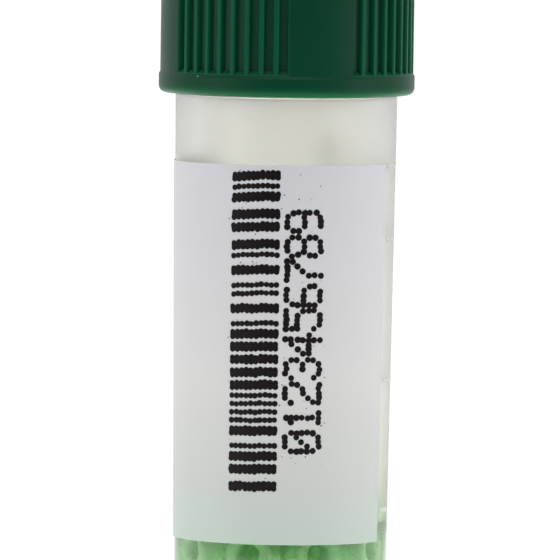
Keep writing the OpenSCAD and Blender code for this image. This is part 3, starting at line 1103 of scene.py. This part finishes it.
def build_world():
    world = bpy.data.worlds.new("light_tent")
    bpy.context.scene.world = world
    world.use_nodes = True
    tree = world.node_tree
    backdrop = tree.nodes["Background"]
    direction = tree.nodes.new("ShaderNodeTexCoord").outputs["Generated"]
    split = tree.nodes.new("ShaderNodeSeparateXYZ")
    tree.links.new(direction, split.inputs["Vector"])
    ramp = tree.nodes.new("ShaderNodeMapRange")
    ramp.interpolation_type = "SMOOTHSTEP"
    ramp.inputs["From Min"].default_value = DIM_SIDE
    ramp.inputs["From Max"].default_value = WHITE_SIDE
    ramp.inputs["To Min"].default_value = DIM_STRENGTH
    ramp.inputs["To Max"].default_value = WHITE_STRENGTH
    tree.links.new(split.outputs["Y"], ramp.inputs["Value"])
    seen = tree.nodes.new("ShaderNodeLightPath").outputs["Is Camera Ray"]
    strength = tree.nodes.new("ShaderNodeMix")
    strength.data_type = "FLOAT"
    tree.links.new(seen, strength.inputs["Factor"])
    tree.links.new(ramp.outputs["Result"], strength.inputs["A"])
    strength.inputs["B"].default_value = BACKDROP_STRENGTH
    tree.links.new(strength.outputs["Result"], backdrop.inputs["Strength"])
    backdrop.inputs["Color"].default_value = (1, 1, 1, 1)
    return world


print("world:", build_world().name)

# %% [markdown]
# Three soft lamps light the front, where the tent is dim: one at each side and one overhead. An area
# lamp is as soft as it is large, so each is many times the size of the vial, and none of them shows.

# %% Lamps
LAMP_DISTANCE = 0.8


def add_lamp(name, azimuth, elevation, size, watts):
    """A square soft lamp that faces the vial. Azimuth is counted from the front, right positive."""
    data = bpy.data.lights.new(name, "AREA")
    data.size = size
    data.energy = watts
    lamp = bpy.data.objects.new(name, data)
    bpy.context.collection.objects.link(lamp)
    a = math.radians(azimuth)
    e = math.radians(elevation)
    back = Vector((math.sin(a) * math.cos(e), -math.cos(a) * math.cos(e), math.sin(e)))
    lamp.location = Vector((0, 0, VIEW_HEIGHT)) + LAMP_DISTANCE * back
    lamp.rotation_mode = "QUATERNION"
    lamp.rotation_quaternion = facing(back)
    lamp.visible_camera = False
    return lamp


lamps = [
    add_lamp("lamp_left", azimuth=-62, elevation=15, size=0.4, watts=2.1),
    add_lamp("lamp_right", azimuth=70, elevation=15, size=0.4, watts=2.4),
    add_lamp("lamp_over", azimuth=0, elevation=68, size=0.6, watts=3.6),
]
print("lamps:", [lamp.name for lamp in lamps])

# %% [markdown]
# The vial stands on a plain white floor. It glows a little, as a lit table does, and lights the beads
# from below. It is kept small: a floor that reached further towards the camera would mirror in the
# wall of the tube and lay a white veil over what is inside.

# %% Floor
FLOOR_R = 0.1
FLOOR_GLOW = 1.2


def lay_floor():
    """A disc of white under the vial."""
    clear_selection()
    bpy.ops.mesh.primitive_circle_add(vertices=96, radius=FLOOR_R, fill_type="NGON")
    floor = bpy.context.object
    floor.name = "floor"
    material, tree, shader, place = start_material(
        "floor_white", Specular_IOR_Level=0.0, Roughness=0.9,
        Emission_Color=(1, 1, 1, 1), Emission_Strength=FLOOR_GLOW,
    )
    drift = use_group(tree, tone_drift, place,
                      Color=srgb(244, 244, 244), Patch_Size=30 * MM, Drift=0.01)
    tree.links.new(drift["Color"], shader.inputs["Base Color"])
    floor.data.materials.append(material)
    return floor


print("floor:", lay_floor().name)

# %% [markdown]
# ## Finish
# Every new piece rides on the body of the tube, since all of them are printed on it or lie in it, and
# gets its material.

# %% Ride and finish
bpy.context.scene.view_settings.view_transform = "Standard"
for piece, material, slot in (
    (code_bars, jet_black, "panel_ink"),
    (code_digits, jet_black, "panel_ink"),
    (code_spray, jet_black, "panel_ink"),
    (scale_strokes, scale_white, "panel_ink"),
    (scale_numbers, scale_white, "panel_ink"),
    (preservative_fluid, clear_fluid, "tube_plastic"),
):
    piece.data.materials.clear()
    piece.data.materials.append(material)
    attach(piece, "vial")
